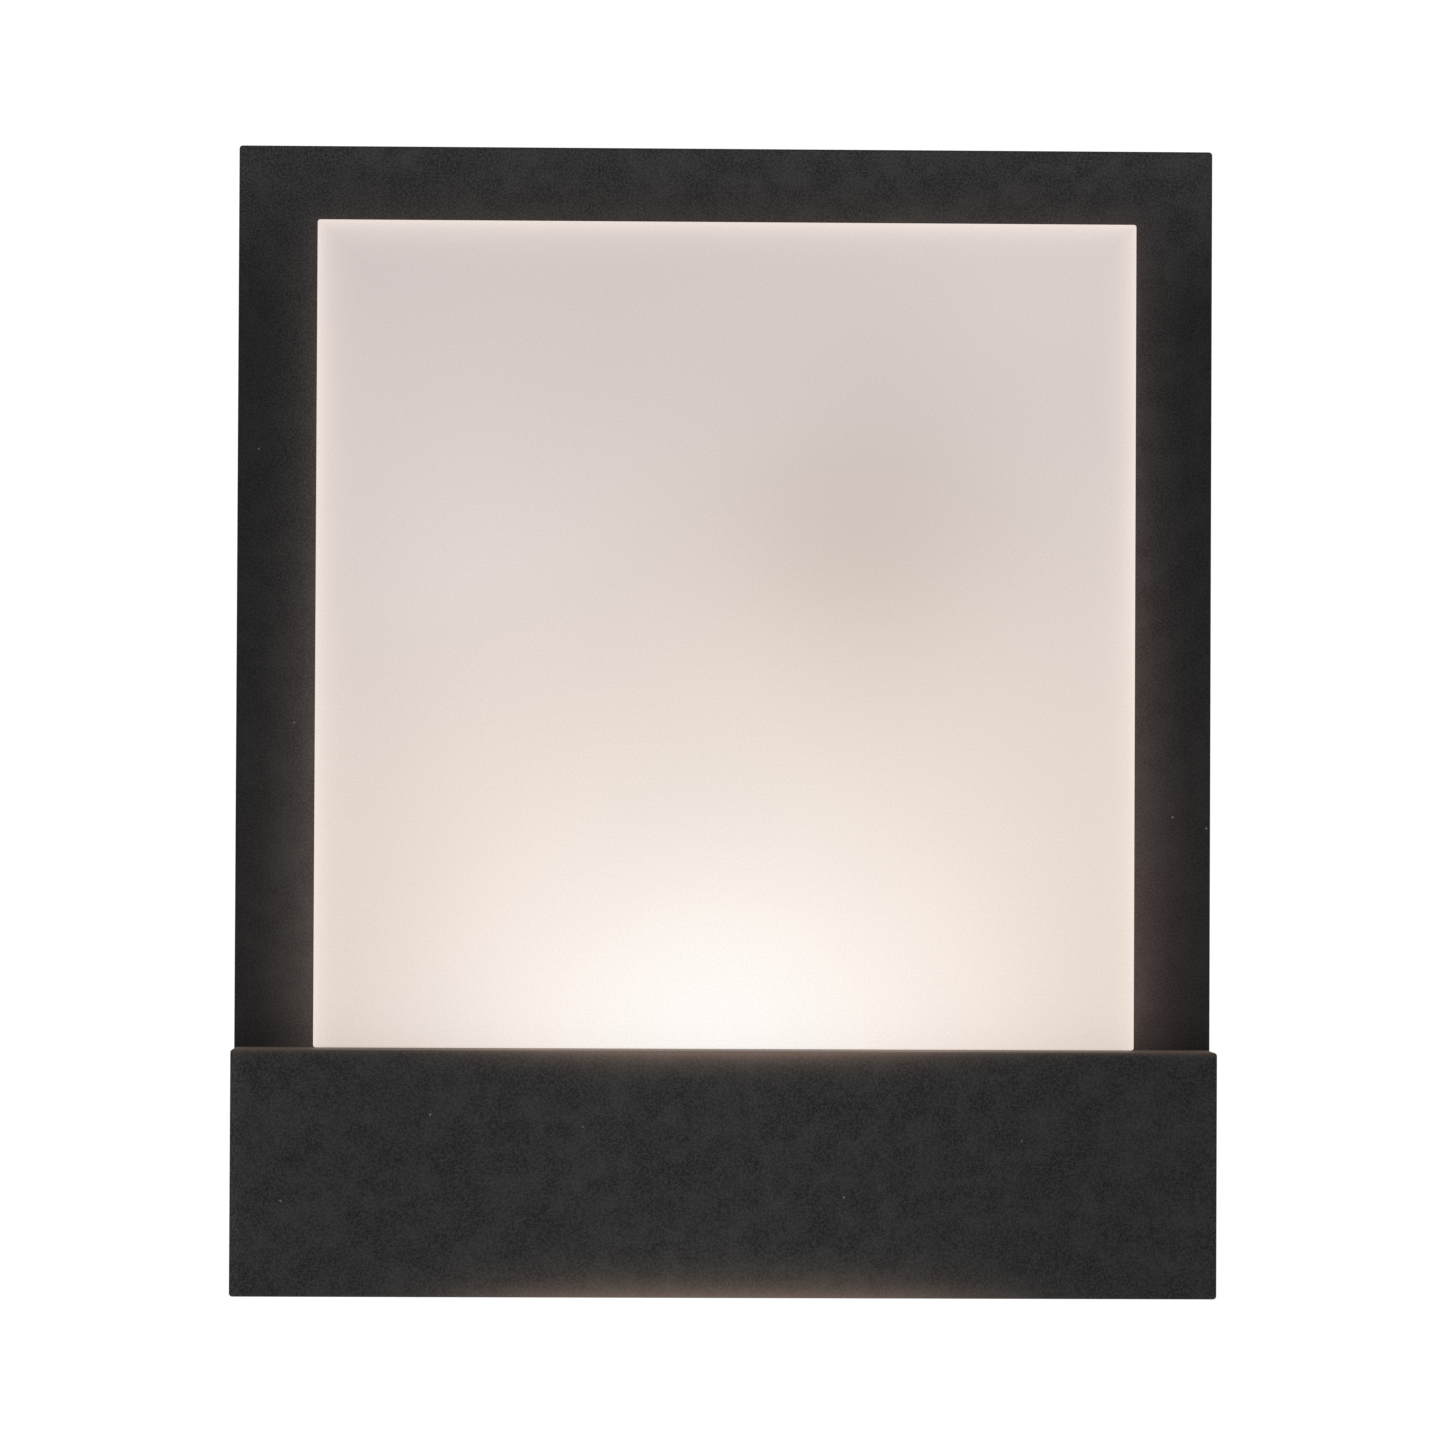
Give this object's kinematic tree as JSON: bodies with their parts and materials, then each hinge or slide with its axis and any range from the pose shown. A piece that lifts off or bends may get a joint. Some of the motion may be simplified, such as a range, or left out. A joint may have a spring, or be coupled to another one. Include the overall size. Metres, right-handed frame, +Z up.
{
  "type": "outdoor wall lantern",
  "caption": "Square-edged outdoor wall lantern: black frame with an opal light panel above a lower cover with a down light.",
  "frame": {"origin": "on the wall plane, in the middle of the four wall-screw holes, which is also the middle of the 230 x 270 mm outline", "axes": "+X to the viewer's right, -Y out of the wall towards the viewer, +Z up"},
  "size_m": [0.23, 0.082, 0.27],
  "materials": {
    "black_coat": "fine-textured black powder coat on die-cast aluminium",
    "cast_rear": "black powder coat, smoother, on die-cast aluminium",
    "opal_acrylic": "opal acrylic, satin, lit from inside",
    "opal_lens": "opal acrylic lens",
    "white_reflector": "matte white polycarbonate",
    "seal_foam": "closed-cell foam",
    "seal_rubber": "soft silicone rubber",
    "bracket_aluminium": "plain bent sheet",
    "steel_screws": "stainless steel",
    "white_rivets": "nylon push rivets",
    "board_white": "white solder mask on an aluminium-core board",
    "led_yellow": "phosphor resin",
    "connector_white": "nylon connector",
    "driver_case": "polycarbonate case",
    "terminal_grey": "polycarbonate",
    "lever_orange": "polyamide",
    "brass_earth": "plain brass",
    "tinned_tag": "tinned crimp tag",
    "wire_blue": "PVC insulation",
    "wire_brown": "PVC insulation",
    "wire_green": "PVC insulation",
    "wire_red": "PVC insulation",
    "wire_black": "PVC insulation"
  },
  "bodies": {
    "rear": {"board_screws": "steel_screws", "bracket_screws": "steel_screws", "cable_grommet": "seal_rubber", "down_led_board": "board_white", "down_led_chips": "led_yellow", "driver_screws": "steel_screws", "earth_ring_tag": "tinned_tag", "earth_screw": "brass_earth", "fixing_tabs": "bracket_aluminium", "housing_gasket": "seal_rubber", "led_bracket": "bracket_aluminium", "led_connectors": "connector_white", "led_driver": "driver_case", "rear_housing": "cast_rear", "reflector_rivets": "white_rivets", "reflector_tray": "white_reflector", "standoffs": "steel_screws", "tab_rivets": "steel_screws", "terminal_block": "terminal_grey", "terminal_screws": "steel_screws", "up_led_board": "board_white", "up_led_chips": "led_yellow", "wall_gasket": "seal_foam", "wall_screw_washers": "seal_rubber", "wire_earth": "wire_green", "wire_led_negative": "wire_black", "wire_led_positive": "wire_red", "wire_link_negative": "wire_black", "wire_link_positive": "wire_red", "wire_live": "wire_brown", "wire_neutral": "wire_blue"},
    "front": {"frame": "black_coat", "lower_cover": "black_coat", "cover_screws": "steel_screws", "light_panel": "opal_acrylic", "panel_gasket": "seal_rubber", "panel_clips": "steel_screws", "panel_clip_screws": "steel_screws", "down_lens": "opal_lens", "lens_gasket": "seal_rubber", "fixing_screws": "steel_screws", "fixing_nuts": "steel_screws"},
    "earth_lever": {"lever_earth": "lever_orange"},
    "neutral_lever": {"lever_neutral": "lever_orange"},
    "live_lever": {"lever_live": "lever_orange"}
  },
  "joints": [
    {"name": "front_lift", "type": "slide", "parent": "rear", "child": "front", "axis": [0, -1, 0], "range_m": [0, 0.1]},
    {"name": "earth_lever_turn", "type": "hinge", "parent": "rear", "child": "earth_lever", "pos_m": [0.0636, -0.0193, -0.0925], "axis": [-1, 0, 0], "range_deg": [0, 90]},
    {"name": "neutral_lever_turn", "type": "hinge", "parent": "rear", "child": "neutral_lever", "pos_m": [0.073, -0.0193, -0.0925], "axis": [-1, 0, 0], "range_deg": [0, 90]},
    {"name": "live_lever_turn", "type": "hinge", "parent": "rear", "child": "live_lever", "pos_m": [0.0824, -0.0193, -0.0925], "axis": [-1, 0, 0], "range_deg": [0, 90]}
  ]
}
